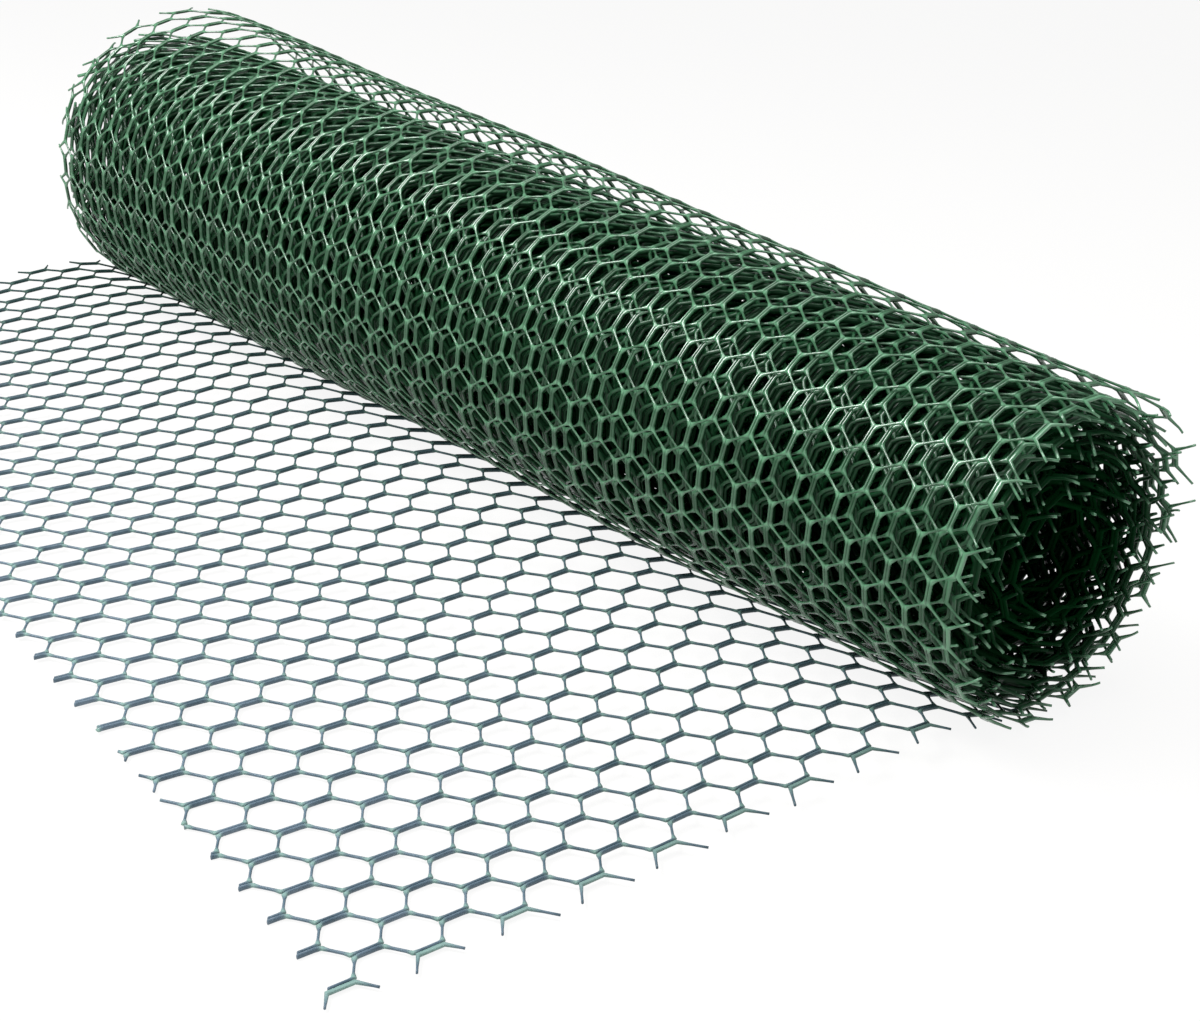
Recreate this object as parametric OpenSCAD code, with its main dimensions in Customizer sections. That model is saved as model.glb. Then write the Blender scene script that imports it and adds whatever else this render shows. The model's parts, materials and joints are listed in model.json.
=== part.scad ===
// Roll of extruded plastic turf protection mesh, lying on its side with its free end laid out flat.
// Millimetres. The origin is on the floor, on the line where the roll lies, halfway along it:
// +X along the roll, -Y towards the free end of the laid length, +Z up.
// The tight turns are one turned solid. The loose outermost turn stands off round them, more at the
// -X end than at the +X end. The laid length has the real strands and open cells.

/* [Stock] */
// Width of the mesh, which is also the length of the roll
stock_w = 1000; // [400:20:1200]
// Thickness of the mesh
mesh_t = 2.6; // [2:0.1:4]

/* [Roll] */
// Diameter over the turns that are wound tight
tight_d = 200; // [160:2:260]
// Diameter of the hollow middle
bore_d = 60; // [40:2:80]
// Number of turns that are wound tight
tight_turns = 10; // [7:1:13]
// How far the loose outermost turn stands off above the tight ones, at its tighter end
tight_end_gap = 5; // [3:1:20]
// How far it stands off above them at its looser end
loose_end_gap = 50; // [8:1:60]
// How far the cut strands of each turn stand out past the filled part of an end
turn_depth = 16; // [6:1:24]
// Most that one turn's edge is out of line with the others
turn_wander = 3; // [0:0.5:4]
// How far the turns are pressed into each other, and flat on the floor, where the roll lies
sag = 0.5; // [0.3:0.1:1]

/* [Cells] */
// Whole cells side by side across the stock
cells_across = 34; // [14:1:42]
// Distance from one row of cells to the next
row_pitch = 24; // [20:0.5:30]
// Length of the straight strand between two junctions, along the stock
land = 14.5; // [8:0.5:16]
// Width of the strands that run along the stock
land_w = 3.4; // [2.4:0.1:5]
// Width of the slanted strands
slant_w = 2.4; // [1.6:0.1:3.4]
// How far the cut slanted strands stand out at a side edge
edge_stub = 10; // [4:0.5:12]

/* [Laid length] */
// Rows of cells laid out flat, counted from under the roll along the middle of the stock
laid_rows = 18; // [12:1:22]
// How much farther the free end reaches at the tighter end of the roll than at the looser one
skew = 86; // [0:2:100]
// Length of the cut strands at the middle of the free end, past the last row
free_stub = 5; // [2:0.5:7]
// Distance from the line where the roll lies to the end of the flat strands under it
tuck = 18; // [17.5:0.5:22]

/* [Hidden] */
$fn = 120;
turn_angle = 137.5;   // spreads the turns' edges unevenly
loose_end_press = 0.2;    // how much flatter the floor presses the loose turn's looser end
strip_rows = [ceil(2 * laid_rows / 3), ceil(laid_rows / 3)];   // rows where the laid strips meet
cell_w = (stock_w - 2 * edge_stub) / cells_across;
slant_angle = atan((row_pitch - land) / (cell_w / 2));
tight_r = tight_d / 2;
bore_r = bore_d / 2;
turn_pitch = (tight_r - mesh_t - bore_r) / (tight_turns - 1);
tight_h = mesh_t + tight_r - 2 * sag;          // height of the tight turns' axis
taper = (loose_end_gap - tight_end_gap) / 2 / stock_w;    // how fast the loose turn widens towards -X
loose_tilt = atan(taper - loose_end_press / stock_w);
loose_h = loose_r(0) * cos(loose_tilt) - sag;  // height of the middle of the loose turn's axis
laid_len = laid_rows * row_pitch + free_stub;
rolled_green = [0.05, 0.22, 0.13];
laid_green = [0.1, 0.28, 0.24];

// How far a turn's edge is shifted along the axis. The innermost turn's isn't.
function turn_shift(turn) = turn_wander * sin(turn_angle * turn);

// Outer radius of the loose turn at a place along it.
function loose_r(x) = tight_r + mesh_t + ((tight_end_gap + loose_end_gap) / 2 - sag) / 2 - taper * x;

// Half section of the tight turns: a filled middle, and one narrow band for each turn that stands
// out at both ends.
module tight_section() {
    middle_l = stock_w - 2 * turn_depth;
    translate([bore_r, -middle_l / 2])
        square([tight_r - bore_r, middle_l]);
    for (turn = [0 : tight_turns - 1])
        translate([bore_r + turn * turn_pitch, turn_shift(turn) - stock_w / 2])
            square([mesh_t, stock_w]);
}

// Solid cone that lies on the floor as the loose turn does, a wall's thickness inside its surface,
// and reaches half_l to both sides.
module loose_cone(wall, half_l) {
    translate([turn_shift(tight_turns), 0, loose_h])
        rotate([0, 90 + loose_tilt, 0])
            rotate_extrude()
                polygon([
                    [0, -half_l], [loose_r(-half_l) - wall, -half_l],
                    [loose_r(half_l) - wall, half_l], [0, half_l],
                ]);
}

// The loose turn, pressed flat where it lies on the floor.
module loose_turn() {
    difference() {
        loose_cone(0, stock_w / 2);
        loose_cone(mesh_t, stock_w);
        translate([-stock_w, -tight_r, -tight_r])
            cube([2 * stock_w, tight_d, tight_r]);
    }
}

module mesh_roll() {
    color(rolled_green) {
        translate([0, 0, tight_h])
            rotate([0, 90, 0])
                rotate_extrude()
                    tight_section();
        loose_turn();
    }
}

// Open six-sided cell between the strands, with its two straight sides along the stock.
module cell_hole() {
    side_x = (cell_w - land_w) / 2;
    tip_y = row_pitch - land / 2 - slant_w / 2 / cos(slant_angle);
    side_y = tip_y - side_x * tan(slant_angle);
    polygon([
        [side_x, side_y], [0, tip_y], [-side_x, side_y],
        [-side_x, -side_y], [0, -tip_y], [side_x, -side_y],
    ]);
}

// A flat strip of mesh from y_far to y_near, with every cell of the rows that reach into it. Its far
// side reaches half_skew farther at the +X edge, and as much less at the -X edge.
module mesh_strip(y_far, y_near, half_skew = 0) {
    linear_extrude(mesh_t)
        difference() {
            polygon([
                [-stock_w / 2, y_near], [-stock_w / 2, y_far + half_skew],
                [stock_w / 2, y_far - half_skew], [stock_w / 2, y_near],
            ]);
            for (row = [floor(-y_near / row_pitch) : ceil((half_skew - y_far) / row_pitch)]) {
                offset_cells = row % 2 == 0 ? 0 : 0.5;
                for (cell = [-cells_across / 2 - 0.5 : cells_across / 2 + 0.5])
                    translate([(cell + offset_cells) * cell_w, -row * row_pitch])
                        cell_hole();
            }
        }
}

module laid_mesh_1() {
    color(laid_green)
        mesh_strip(-laid_len, -strip_rows[0] * row_pitch, skew / 2);
}

module laid_mesh_2() {
    color(laid_green)
        mesh_strip(-strip_rows[0] * row_pitch, -strip_rows[1] * row_pitch);
}

// The strip next to the roll runs under it, so its strands are cut to the loose turn's surface.
module laid_mesh_3() {
    color(laid_green)
        difference() {
            mesh_strip(-strip_rows[1] * row_pitch, -tuck);
            loose_cone(0, stock_w);
        }
}

mesh_roll();
laid_mesh_1();
laid_mesh_2();
laid_mesh_3();
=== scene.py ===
"""Roll of turf protection mesh: the looks, over the CAD frame. Metres, in the frame's own axes."""
import json
import math

import bpy
import numpy as np
from mathutils import Matrix, Vector


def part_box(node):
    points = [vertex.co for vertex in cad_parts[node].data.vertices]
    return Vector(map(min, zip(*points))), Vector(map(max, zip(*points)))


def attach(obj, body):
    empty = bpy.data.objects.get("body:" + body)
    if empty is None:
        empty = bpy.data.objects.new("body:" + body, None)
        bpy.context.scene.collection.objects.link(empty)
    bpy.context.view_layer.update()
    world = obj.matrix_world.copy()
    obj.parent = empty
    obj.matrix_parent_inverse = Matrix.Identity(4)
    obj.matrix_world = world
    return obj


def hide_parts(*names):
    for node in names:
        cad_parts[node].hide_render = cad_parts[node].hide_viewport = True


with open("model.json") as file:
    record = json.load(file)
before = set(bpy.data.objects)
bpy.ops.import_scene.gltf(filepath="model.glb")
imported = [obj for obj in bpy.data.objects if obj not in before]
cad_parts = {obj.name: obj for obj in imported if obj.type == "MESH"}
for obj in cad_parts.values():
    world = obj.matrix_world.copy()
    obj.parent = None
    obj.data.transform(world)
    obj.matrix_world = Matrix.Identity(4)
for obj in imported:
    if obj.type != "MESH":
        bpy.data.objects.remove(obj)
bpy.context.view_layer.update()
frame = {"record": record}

MM = 0.001

# ---------------------------------------------------------------- sizes
# From the frame.
STRIP_LO, STRIP_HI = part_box("laid_mesh_2")
STOCK_W = STRIP_HI[0] - STRIP_LO[0]
MESH_T = STRIP_HI[2] - STRIP_LO[2]
ROLL_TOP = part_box("mesh_roll")[1][2]
CORE_BORE = frame["record"]["mounts"][0]
AXIS_H = CORE_BORE["pos_m"][2]
BORE_R = CORE_BORE["dims"]["r_mm"] * MM

# The pattern of cells.
CELLS_ACROSS = 34
EDGE_STUB = 10 * MM
HALF_CELL = (STOCK_W - 2 * EDGE_STUB) / CELLS_ACROSS / 2
ROW_PITCH = 24 * MM
LAND = 14.5 * MM            # the straight stretch where two strands lie side by side
STRAND_GAP = 0.85 * MM      # from a land's middle line to the middle of each of its two strands
LAND_HALF_W = 0.8 * MM
SLANT_HALF_W = 0.68 * MM
SLANT_THINNER = 0.4         # how much thinner the drawn, slanted stretches are than the stock
BEND = 2.5 * MM             # a bend is rounded off over this length on both sides
WEB = 1.9 * MM              # how much wider a strand is in the fork where two strands part
WEB_PAST = 0.6 * MM         # how far past a land's end the web is widest
WEB_REACH = 1.1 * MM
HALF_REACH = HALF_CELL / 2 - STRAND_GAP                 # half of what a slanted stretch runs across
SLANT = HALF_REACH / (ROW_PITCH / 2 - LAND / 2)         # what it runs across for each metre along

# Places along a strand of the rings it is drawn with, counted out from each end of a land.
RINGS = {
    "fine": [-BEND, -0.3 * BEND, 0.4 * BEND, 1.1 * BEND],
    "plain": [-BEND, 0.1 * BEND, BEND],
    "coarse": [-0.5 * BEND, 0.9 * BEND],
}

# The cut strands at a side edge, in millimetres: by how much they are longer than EDGE_STUB, at the
# least and at the most, and how far they curl out of the sheet.
LAID_STUBS = (-2, 4, 0)
OUTERMOST_STUBS = (-3, 5, 4)
INNER_STUBS = (-5, 3, 4)
STUB_WIDEST = {1: 1.3, -1: 2.2}     # most that they are widened at the +X edge and at the -X edge
CUT_SHINE = 0.9                     # how much a cut end in the roll is painted lighter: spared its painted shade, as if it lay outside, and paler, partly as a painted glint and partly as plastic whitened by the cut

# The laid length. Its free end is cut out of square.
LAID_ROWS = 18
FREE_STUB = 9 * MM
SKEW = 92 * MM
LAID_LEN = LAID_ROWS * ROW_PITCH + FREE_STUB
FAN = 18 * MM               # how much wider the laid mesh spreads at its -X side
DRIFT = 1.6 * MM            # how far its cells are out of line
DRIFT_ACROSS = 13           # how fast that changes across the stock
DRIFT_ALONG = 8             # the same along it
SPREAD_OVER = 0.12          # length in front of the floor line over which the fan and drift grow
BOW = 14 * MM               # how far it springs off the floor in front of the roll
BOW_FAR = 26 * MM           # the same at its -X side
BOW_AT = 0.1                # how far in front of the floor line it springs up most
RIPPLE = 2.2 * MM           # how far it is off the floor elsewhere, at the most
RIPPLE_ACROSS = (9.2, 1.2)  # how fast that changes across the stock, and where it starts
RIPPLE_ALONG = (11, 0.4)
RIPPLE_OVER = 0.08          # length in front of the floor line over which it grows

# The roll. Its outermost turn is loose, and stands off above the body of the roll, more at the -X
# end. The turns of the body are pressed together, and open up towards the hollow middle.
BELOW = AXIS_H - MESH_T / 2
INNER_R = BORE_R + MESH_T / 2
TURNS = 13.5
FIRST_ROWS = 31.2           # rows of cells in one turn at the outside
ROWS_FEWER = 1.63           # how many fewer each next turn has
LOOSE_HIGHER = 6 * MM       # how much higher the loose turn stands at the -X end than in the solids
LOOSE_NEAR = 1 * MM         # how much wider than BELOW its radius is at the +X end
LOOSE_FAR = (ROLL_TOP - AXIS_H - BELOW + LOOSE_HIGHER) / 2
BULGE = 8 * MM              # how much farther its front reaches at the +X end, as it sags
BODY_FROM = 0.6             # number of turns after which the mesh starts to draw in to the body
DRAWN_IN = 0.6              # number of turns that this takes
TURN_STEP = 3.1 * MM        # from one turn to the next where they are pressed together
OPENS_LATE = 2.2            # how late they open up towards the hollow middle
TOP_EVENLY = 0.15           # how much more even their spacing is on top, where 1 is wholly even
BODY_R = 97 * MM            # how far the body's top and back are from the axis at the +X end
BODY_HIGHER = 40 * MM       # how much higher the body's top is at the -X end
BODY_DEEPER = 8 * MM        # how much farther the body's back is at the -X end
BODY_LEAN = 10 * MM         # how far the body's upper front leans out at the -X end
UPRIGHT_TURNS = 6           # number of innermost turns over which that fades
WANDER = 3 * MM             # how far the turns' edges are out of line
WANDER_STEP = 2.4           # how fast that changes from turn to turn
REACH = 10 * MM             # how much farther the turns reach at the +X end
SLIP = 4 * MM               # how far the inner turns have slipped towards -X
SLIP_FROM = 0.9             # number of turns after which they start to slip
SLIP_OVER = 1.5             # number of turns over which it grows

# Waves in the turns: how many millimetres high, how fast they run on from turn to turn and along the
# roll, and where they start.
TURN_WAVES = [(0.9, 14.5, 7, 0), (0.7, 32, -11, 1), (0.6, 5.7, 17, 0)]
WAVES_SET_IN = 3            # they grow over the first third of a turn
WANDER_SETS_IN = 2          # the wander and the reach grow over its first half

# How the strands of the rolled mesh are drawn. Those deep in the roll are wider and thicker than the
# stock's, because fewer turns are drawn than the real roll may have.
OUTER_WIDE = 1.15           # how many times as wide as the stock's they are at the outside
FILLED_T = 3.3 * MM         # thickness of the widest ones
STUB_SIDES = 6

# The pieces it is split into, from the outside in: the number of turns where each ends, its kind of
# rings, the sides of its strands and how many times as wide as the stock's they are.
ROLLED_PIECES = [
    (1, "plain", 6, OUTER_WIDE),
    (2, "plain", 6, 1.2),
    (3.5, "coarse", 5, 1.8),
    (6, "coarse", 4, 2.3),
    (9.5, "coarse", 3, 2.9),
    (TURNS, "coarse", 3, 2.9),
]

# Painted shade. Each turn keeps this much of the colour of the turn outside it; the rest is a dark green
# painted in for the shade deep in the roll.
TURN_SHADE = 0.62
# The dark green of that painted shade, also painted on the laid mesh next to the roll.
PAINTED_SHADE_GREEN = (0.001, 0.02, 0.005)
SHADE_NEAR = 1.6            # how many turns deep the painted shade on the laid mesh next to the roll is, at its +X end
SHADE_FAR = 4               # the same at its -X end
SHADE_REACH = 0.5           # how far in front of the floor line it ends


# ---------------------------------------------------------------- the bent sheet
def ease(x):
    """Smooth step from 0 to 1."""
    x = np.clip(x, 0, 1)
    return x * x * (3 - 2 * x)


def far_share(u):
    """How far along the roll a place is, from 0 at its +X end to 1 at its -X end."""
    return 0.5 - u / STOCK_W


def turn_shape(u, turn):
    """How far the sheet is from the roll's axis at the front, at the back, below and on top, so many
    turns in from the floor line and at the place u along the roll."""
    far = far_share(u)
    loose = LOOSE_NEAR + (LOOSE_FAR - LOOSE_NEAR) * (far + ease(far)) / 2
    bulge = BULGE * (1 - far)
    side = BELOW + loose + bulge
    body = ease((turn - BODY_FROM) / DRAWN_IN)
    core = np.clip((turn - 1) / (TURNS - 1), 0, 1)
    pressed = TURN_STEP * (TURNS - 1)

    def inward(outermost, evenly=0):
        tight = outermost - pressed * core - (outermost - INNER_R - pressed) * core ** OPENS_LATE
        even = outermost - (outermost - INNER_R) * core
        return tight + (even - tight) * evenly

    front = inward(side - TURN_STEP * body)
    back = inward((side - bulge / 2) * (1 - body) + (BODY_R + BODY_DEEPER * far) * body)
    below = inward(BELOW - TURN_STEP * body)
    top = inward((BELOW + 2 * loose) * (1 - body) + (BODY_R + BODY_HIGHER * far) * body, TOP_EVENLY)
    return front, back, below, top


def turns_wound(s):
    """Number of turns wound by a length of mesh past the floor line."""
    rows = np.maximum(s, 0) / ROW_PITCH
    return (FIRST_ROWS - np.sqrt(FIRST_ROWS ** 2 - 2 * ROWS_FEWER * rows)) / ROWS_FEWER


def length_wound(turn):
    """Length of mesh in a number of turns, to the nearest row of cells."""
    return round((FIRST_ROWS - ROWS_FEWER * turn / 2) * turn) * ROW_PITCH


def rolled_place(u, turn, w):
    """The point u across the stock, so many turns in and w out from the sheet's middle surface."""
    angle = 2 * math.pi * turn
    cos, sin = np.cos(angle), np.sin(angle)
    front, back, below, top = turn_shape(u, turn)
    waves = sum(high * np.sin(step * turn + along * u + start) for high, step, along, start in TURN_WAVES)
    upper_front = 2 * np.clip(-sin, 0, 1) * np.clip(-cos, 0, 1)
    lean = BODY_LEAN * far_share(u) * upper_front
    lean *= ease(turn - BODY_FROM) * ease((TURNS - turn) / UPRIGHT_TURNS)
    out = MM * waves * ease(WAVES_SET_IN * turn) + w + lean
    wander = WANDER * np.sin(WANDER_STEP * turn)
    shift = (wander + REACH * ease(2 * u / STOCK_W)) * ease(WANDER_SETS_IN * turn)
    shift -= SLIP * ease((turn - SLIP_FROM) / SLIP_OVER)
    y = (back - front) / 2 + ((back + front) / 2 + out) * sin
    z = AXIS_H + (top - below) / 2 - ((top + below) / 2 + out) * cos
    return u + shift, y, z


def laid_place(u, s, w):
    """The point u across the laid mesh, -s in front of the floor line and w down from the sheet's
    middle surface, which springs up in front of the roll and lies in slight ripples elsewhere."""
    spread = ease(-s / SPREAD_OVER)
    fan = -FAN * ease(far_share(u)) * spread
    drift = DRIFT * np.sin(DRIFT_ACROSS * u + DRIFT_ALONG * s) * spread
    across = np.sin(RIPPLE_ACROSS[0] * u + RIPPLE_ACROSS[1])
    ripple = 0.5 + 0.5 * across * np.sin(RIPPLE_ALONG[0] * s + RIPPLE_ALONG[1])
    bow = BOW + (BOW_FAR - BOW) * ease(far_share(u))
    out = np.clip(-s, 0, None) / BOW_AT
    lift = RIPPLE * ripple * ease(-s / RIPPLE_OVER) + bow * out ** 2 * np.exp(2 - 2 * out)
    return u + fan + drift, s + drift, MESH_T / 2 - w + lift


def place(u, s, w):
    """The point u across the stock, s along it past the floor line and w out from its middle surface,
    and how many turns deep its painted shade is: the turns it lies in, in the roll, and on the laid mesh
    a painted shade next to the roll that is deeper towards the -X end."""
    turn = turns_wound(s)
    both = zip(rolled_place(u, turn, w), laid_place(u, s, w))
    point = np.stack([np.where(s > 0, rolled, laid) for rolled, laid in both], axis=-1)
    # Painted shade on the laid mesh next to the roll: deeper towards its -X end, fading out over
    # SHADE_REACH in front of the floor line.
    painted_shade_beside = (SHADE_NEAR + (SHADE_FAR - SHADE_NEAR) * far_share(u) ** 2) * ease(1 + s / SHADE_REACH)
    return point, np.where(s > 0, turn, 1 + painted_shade_beside)


# ---------------------------------------------------------------- strands
def strand_path(lane, row, dv):
    """Where the strand of a lane runs across the stock, dv past the middle of a row's lands, with its
    half width and half thickness there and how much of that is web."""
    left_land = (lane + row + CELLS_ACROSS) % 2 == 0
    side = np.where(left_land, -1.0, 1.0)
    lane_mid = (lane + 0.5) * HALF_CELL
    past = np.abs(dv) - LAND / 2
    bend = np.where(past > BEND, past, np.where(past < -BEND, 0, (past + BEND) ** 2 / (4 * BEND)))
    web = np.exp(-((past - WEB_PAST) / WEB_REACH) ** 2)
    drawn = ease(past / BEND + 0.5)
    half_w = LAND_HALF_W + (SLANT_HALF_W - LAND_HALF_W) * drawn + web * WEB / 2
    half_t = MESH_T / 2 * (1 - SLANT_THINNER * drawn)
    u = lane_mid + side * (HALF_REACH - SLANT * bend + web * WEB / 2)
    return u, half_w, half_t, web


def tube(u, s, half_w, half_t, web, sides, wide, rise=0, cut=0):
    """Points, faces, end faces, web share and how many turns deep the painted shade is, of one closed
    tube, drawn so many times as wide as the stock's strands. Its middle rises out of the sheet by rise,
    and cut says how much of a cut end it is, which takes that share off its painted shade."""
    du, ds = np.gradient(u), np.gradient(s)
    length = np.hypot(du, ds)
    around = (np.arange(sides) + 0.5) * 2 * math.pi / sides
    cos, sin = np.cos(around), np.sin(around)
    pu = u[:, None] + (ds / length * half_w * wide)[:, None] * cos
    ps = s[:, None] - (du / length * half_w * wide)[:, None] * cos
    filled = min(max(wide - OUTER_WIDE, 0), 1)
    thick = half_t + (FILLED_T / 2 - half_t) * filled
    pw = np.broadcast_to(rise, u.shape)[:, None] + thick[:, None] * sin / np.abs(sin).max()
    points, depth = place(pu, ps, pw)
    index = np.arange(pu.size).reshape(pu.shape)
    a, b = index[:-1], index[1:]
    quads = np.stack([a, np.roll(a, -1, 1), np.roll(b, -1, 1), b], -1).reshape(-1, 4)
    caps = np.stack([index[0, ::-1], index[-1]])
    # A cut end in the roll is painted lighter: it loses its painted shade, as if it lay in the light
    # outside, and takes the paler web colour, partly a painted glint and partly plastic whitened by the
    # cut.
    depth = depth * (1 - np.broadcast_to(cut, u.shape)[:, None])
    return points.reshape(-1, 3), quads, caps, np.repeat(np.maximum(web, cut), sides), depth.ravel()


def lane_strand(lane, s_start, s_end, rings, sides, wide):
    """One of the strands that run the whole way along the stock, between two places along it."""
    half = LAND / 2
    offsets = np.array(sorted([half + r for r in RINGS[rings]] + [-half - r for r in RINGS[rings]]))
    rows = np.arange(math.floor(s_start / ROW_PITCH) - 1, math.ceil(s_end / ROW_PITCH) + 2)
    row = np.repeat(rows, len(offsets))
    dv = np.tile(offsets, len(rows))
    s = row * ROW_PITCH + dv
    inside = (s > s_start + BEND / 4) & (s < s_end - BEND / 4)
    ends = np.array([s_start, s_end])
    end_row = np.round(ends / ROW_PITCH).astype(int)
    end_dv = ends - end_row * ROW_PITCH
    row = np.concatenate([end_row[:1], row[inside], end_row[1:]])
    dv = np.concatenate([end_dv[:1], dv[inside], end_dv[1:]])
    u, half_w, half_t, web = strand_path(lane, row, dv)
    return tube(u, row * ROW_PITCH + dv, half_w, half_t, web, sides, wide)


def edge_stub(side, row, wide, rng):
    """The outer strand of a land at a side edge, with its two cut, slanted ends."""
    lane = CELLS_ACROSS if side > 0 else -CELLS_ACROSS - 1
    rolled_stubs = OUTERMOST_STUBS if row < FIRST_ROWS else INNER_STUBS
    shortest, longest, curl = LAID_STUBS if row <= 0 else rolled_stubs
    half = LAND / 2
    ends = half + (EDGE_STUB + rng.uniform(shortest, longest, 2) * MM) / SLANT
    dv = np.array([-ends[0], -half - 2 * BEND, -half, half, half + 2 * BEND, ends[1]])
    dv = np.insert(dv, [1, 5], [(dv[0] + dv[1]) / 2, (dv[4] + dv[5]) / 2])
    past = np.maximum(np.abs(dv) - half, 0) / (ends.mean() - half)
    rise = np.where(dv < 0, *rng.uniform(-curl, curl / 2, 2)) * MM * past ** 2
    # Painted lighter towards the cut tip, growing with the cube of the way out.
    cut = CUT_SHINE * past ** 3 * (row > 0)
    u, half_w, half_t, web = strand_path(lane, row, dv)
    return tube(u, row * ROW_PITCH + dv, half_w, half_t, web, STUB_SIDES, wide, rise, cut)


def free_end(u):
    """Length of the laid mesh at the place u across it, past the floor line."""
    return LAID_LEN + SKEW * u / STOCK_W


def mesh_length(s_start, s_end, rings, sides, wide, rng):
    """Every strand of the mesh between two places along it. A start of None means the free end."""
    parts = []
    for lane in range(-CELLS_ACROSS, CELLS_ACROSS):
        lane_mid = (lane + 0.5) * HALF_CELL
        lane_start = -free_end(lane_mid) if s_start is None else s_start
        parts.append(lane_strand(lane, lane_start, s_end, rings, sides, wide))
    for side in (-1, 1):
        side_start = -free_end(side * STOCK_W / 2) if s_start is None else s_start
        for row in range(math.ceil(side_start / ROW_PITCH), math.floor((s_end - MM) / ROW_PITCH) + 1):
            if row % 2 == 0:
                parts.append(edge_stub(side, row, min(wide, STUB_WIDEST[side]), rng))
    return parts


def make_piece(name, parts, material):
    """One mesh object from several tubes."""
    tube_points, tube_quads, tube_caps, web, depth = zip(*parts)
    loops, starts = [], []
    first_point = first_loop = 0
    for points, quads, caps in zip(tube_points, tube_quads, tube_caps):
        for faces in (quads, caps):
            loops.append((faces + first_point).ravel())
            starts.append(first_loop + np.arange(len(faces)) * faces.shape[1])
            first_loop += faces.size
        first_point += len(points)
    points, loops, starts = (np.concatenate(x) for x in (tube_points, loops, starts))
    mesh = bpy.data.meshes.new(name)
    mesh.vertices.add(len(points))
    mesh.vertices.foreach_set("co", points.astype(np.float32).ravel())
    mesh.loops.add(len(loops))
    mesh.loops.foreach_set("vertex_index", loops.astype(np.int32))
    mesh.polygons.add(len(starts))
    mesh.polygons.foreach_set("loop_start", starts.astype(np.int32))
    mesh.polygons.foreach_set("use_smooth", np.ones(len(starts), dtype=bool))
    mesh.update(calc_edges=True)
    mesh.validate()
    # Web share, and how many turns deep the painted shade is, for each point.
    for attribute, values in (("web", web), ("depth", depth)):
        data = mesh.attributes.new(attribute, "FLOAT", "POINT").data
        data.foreach_set("value", np.concatenate(values).astype(np.float32))
    mesh.materials.append(material)
    piece = bpy.data.objects.new(name, mesh)
    bpy.context.scene.collection.objects.link(piece)
    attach(piece, "root")
    return piece


# ---------------------------------------------------------------- materials
MOTTLE_SCALE = 60
MOTTLE_DETAIL = 3
MOTTLE_STOPS = (0.35, 0.65)
PLASTIC_IOR = 1.5


def new_material(name):
    """A material with its node tree's nodes, its links and its shader."""
    material = bpy.data.materials.new(name)
    material.use_nodes = True
    tree = material.node_tree
    return material, tree.nodes, tree.links, tree.nodes["Principled BSDF"]


def math_node(nodes, links, operation, *values):
    """The result of a sum on two values, each of them a number or another node's output."""
    node = nodes.new("ShaderNodeMath")
    node.operation = operation
    for socket, value in zip(node.inputs, values):
        if isinstance(value, (int, float)):
            socket.default_value = value
        else:
            links.new(value, socket)
    return node.outputs["Value"]


def colour_mix(nodes, links, share, a, b):
    """Colour between a and b, each of them a colour or another node's output."""
    node = nodes.new("ShaderNodeMix")
    node.data_type = "RGBA"
    links.new(share, node.inputs["Factor"])
    for key, value in (("A", a), ("B", b)):
        if isinstance(value, tuple):
            node.inputs[key].default_value = (*value, 1)
        else:
            links.new(value, node.inputs[key])
    return node.outputs["Result"]


def attribute_value(nodes, name):
    """The value that a mesh holds under a name for each of its points."""
    node = nodes.new("ShaderNodeAttribute")
    node.attribute_name = name
    return node.outputs["Fac"]


def plastic(name, dark, light, webbed, roughness, gloss):
    """Mottled plastic, paler in the webs, with painted shade: the more turns deep its painted shade is,
    the more its colour is mixed towards a dark green, and the less it shines.
    """
    material, nodes, links, shader = new_material(name)
    shader.inputs["Roughness"].default_value = roughness
    shader.inputs["IOR"].default_value = PLASTIC_IOR
    coords = nodes.new("ShaderNodeTexCoord")
    noise = nodes.new("ShaderNodeTexNoise")
    noise.inputs["Scale"].default_value = MOTTLE_SCALE
    noise.inputs["Detail"].default_value = MOTTLE_DETAIL
    links.new(coords.outputs["Object"], noise.inputs["Vector"])
    mottled = nodes.new("ShaderNodeValToRGB")
    for stop, position, colour in zip(mottled.color_ramp.elements, MOTTLE_STOPS, (dark, light)):
        stop.position = position
        stop.color = (*colour, 1)
    links.new(noise.outputs["Fac"], mottled.inputs["Fac"])
    surface = colour_mix(nodes, links, attribute_value(nodes, "web"), mottled.outputs["Color"], webbed)
    # Painted shade, in colour and in gloss, from how many turns deep each point lies.
    deeper = math_node(nodes, links, "SUBTRACT", attribute_value(nodes, "depth"), 1)
    inside = math_node(nodes, links, "MAXIMUM", deeper, 0)
    unshaded_share = math_node(nodes, links, "POWER", TURN_SHADE, inside)
    links.new(colour_mix(nodes, links, unshaded_share, PAINTED_SHADE_GREEN, surface), shader.inputs["Base Color"])
    shine = math_node(nodes, links, "MULTIPLY", unshaded_share, gloss)
    links.new(shine, shader.inputs["Specular IOR Level"])
    return material


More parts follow.
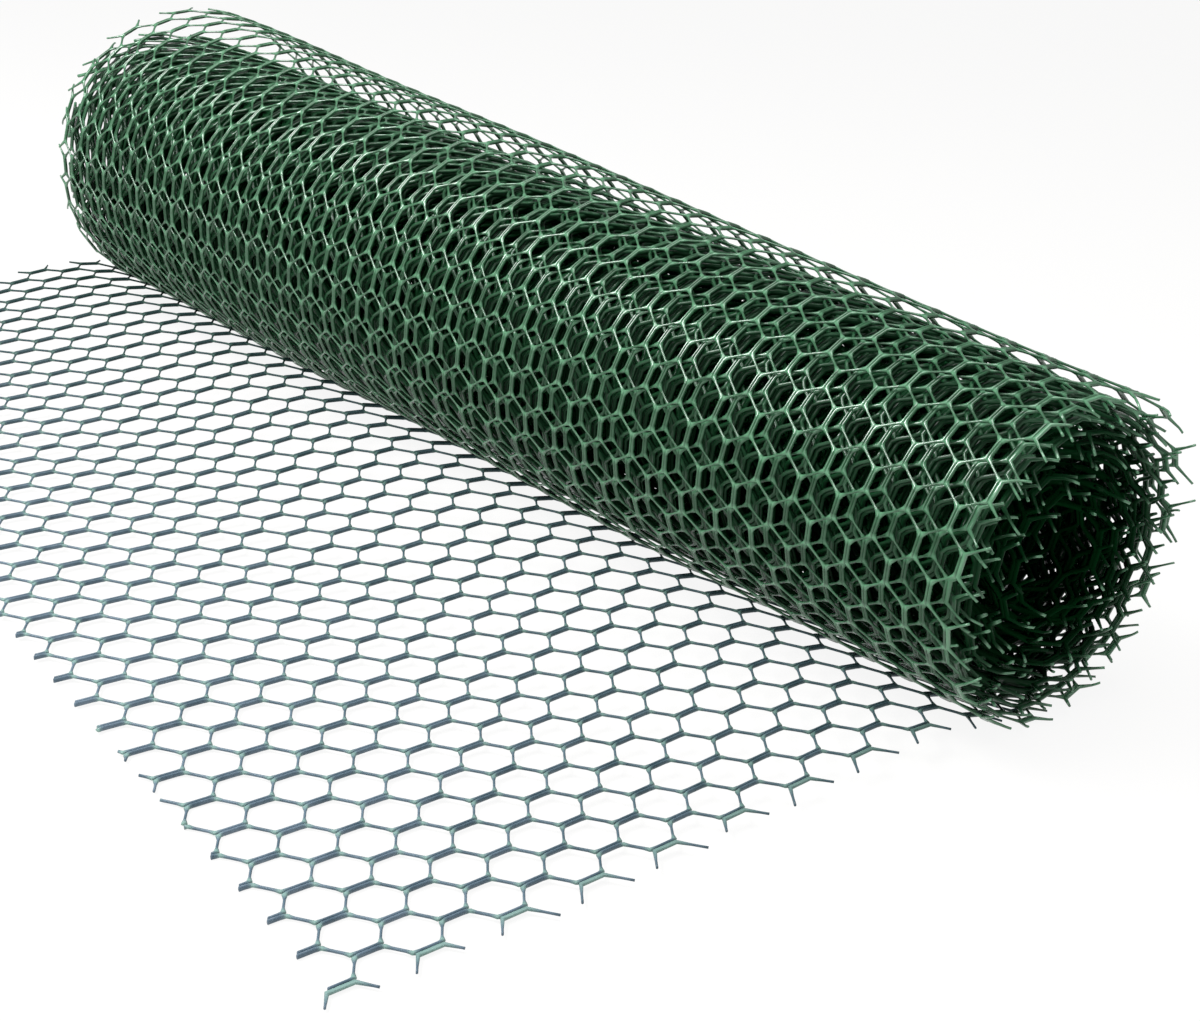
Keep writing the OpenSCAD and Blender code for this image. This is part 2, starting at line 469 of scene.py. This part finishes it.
# ---------------------------------------------------------------- the object
def build():
    rng = np.random.default_rng(7)
    rolled_green = plastic(
        "rolled_green",
        dark=(0.014, 0.066, 0.027),
        light=(0.035, 0.13, 0.06),
        webbed=(0.08, 0.225, 0.12),
        roughness=0.2,
        gloss=0.9,
    )
    laid_green = plastic(
        "laid_green",
        dark=(0.06, 0.1, 0.135),
        light=(0.11, 0.16, 0.21),
        webbed=(0.2, 0.33, 0.29),
        roughness=0.4,
        gloss=0.35,
    )
    laid_length = mesh_length(None, 0, rings="fine", sides=8, wide=1, rng=rng)
    laid = make_piece("laid_mesh", laid_length, laid_green)
    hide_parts("laid_mesh_1", "laid_mesh_2", "laid_mesh_3")
    start = 0
    for n, (last_turn, rings, sides, wide) in enumerate(ROLLED_PIECES):
        end = length_wound(last_turn)
        turns = mesh_length(start, end, rings, sides, wide, rng)
        piece = make_piece(f"rolled_turns_{n + 1}", turns, rolled_green)
        if n == 0:
            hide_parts("mesh_roll")
        start = end


# ---------------------------------------------------------------- floor, lights and camera
FLOOR_SIZE = 14
FLOOR_COLOUR = (0.8, 0.78, 0.75, 1)
FLOOR_WHITE = 0.9           # how much of what the camera and mirrors see of the floor is plain white
WORLD_LIGHT = 0.45
CAMERA_AT = Vector((1.0143, -0.8495, 0.4821))
CAMERA_AZIMUTH = 46.78
CAMERA_ELEVATION = 21.67
CAMERA_ROLL = 5.98
CAMERA_LENS = 54.45


def area_light(name, place_at, aim, size, power):
    lamp = bpy.data.lights.new(name, "AREA")
    lamp.shape = "RECTANGLE"
    lamp.size, lamp.size_y = size
    lamp.energy = power
    light = bpy.data.objects.new(name, lamp)
    light.location = place_at
    light.rotation_euler = (Vector(aim) - Vector(place_at)).to_track_quat("-Z", "Y").to_euler()
    bpy.context.scene.collection.objects.link(light)


def pale_floor():
    """Matt floor that the camera and mirrors see near white, and that still shows a shadow."""
    material, nodes, links, shader = new_material("pale_floor")
    shader.inputs["Base Color"].default_value = FLOOR_COLOUR
    shader.inputs["Roughness"].default_value = 0.9
    shader.inputs["Specular IOR Level"].default_value = 0.1
    glow = nodes.new("ShaderNodeEmission")
    glow.inputs["Color"].default_value = (1, 1, 1, 1)
    rays = nodes.new("ShaderNodeLightPath").outputs
    seen = math_node(nodes, links, "MAXIMUM", rays["Is Camera Ray"], rays["Is Glossy Ray"])
    mix = nodes.new("ShaderNodeMixShader")
    links.new(math_node(nodes, links, "MULTIPLY", seen, FLOOR_WHITE), mix.inputs["Fac"])
    links.new(shader.outputs["BSDF"], mix.inputs[1])
    links.new(glow.outputs["Emission"], mix.inputs[2])
    links.new(mix.outputs["Shader"], nodes["Material Output"].inputs["Surface"])
    return material


def pale_world():
    """Dim white light from all round, that the camera sees as plain white."""
    world = bpy.data.worlds.new("pale_world")
    world.use_nodes = True
    nodes, links = world.node_tree.nodes, world.node_tree.links
    light = nodes["Background"]
    light.inputs["Color"].default_value = (1, 1, 1, 1)
    seen = nodes.new("ShaderNodeLightPath")
    strength = nodes.new("ShaderNodeMapRange")
    strength.inputs["To Min"].default_value = WORLD_LIGHT
    strength.inputs["To Max"].default_value = 1
    links.new(seen.outputs["Is Camera Ray"], strength.inputs["Value"])
    links.new(strength.outputs["Result"], light.inputs["Strength"])
    return world


def studio():
    bpy.ops.mesh.primitive_plane_add(size=FLOOR_SIZE, location=(0, 0, 0))
    floor = bpy.context.object
    floor.name = "floor"
    floor.data.materials.append(pale_floor())
    bpy.context.scene.world = pale_world()
    area_light("key", (-0.6, -1.15, 1.8), aim=(0.2, 0, 0.1), size=(1.2, 0.7), power=56)
    area_light("top", (0.35, 0.0, 2.3), aim=(0.15, 0, 0.1), size=(1.6, 1.0), power=28)
    area_light("front", (0.6, -2.2, 1.2), aim=(0, 0, 0.1), size=(1.2, 0.8), power=10)


def camera():
    data = bpy.data.cameras.new("camera")
    data.sensor_width = 36
    data.lens = CAMERA_LENS
    data.clip_start = 0.01
    cam = bpy.data.objects.new("camera", data)
    azimuth, elevation = math.radians(CAMERA_AZIMUTH), math.radians(CAMERA_ELEVATION)
    level = math.cos(elevation)
    look = Vector((-math.sin(azimuth) * level, math.cos(azimuth) * level, -math.sin(elevation)))
    aimed = look.to_track_quat("-Z", "Y").to_matrix().to_4x4()
    roll = Matrix.Rotation(math.radians(CAMERA_ROLL), 4, "Z")
    cam.matrix_world = Matrix.Translation(CAMERA_AT) @ aimed @ roll
    bpy.context.scene.collection.objects.link(cam)
    bpy.context.scene.camera = cam


build()
studio()
camera()
bpy.context.scene.view_settings.view_transform = "Standard"
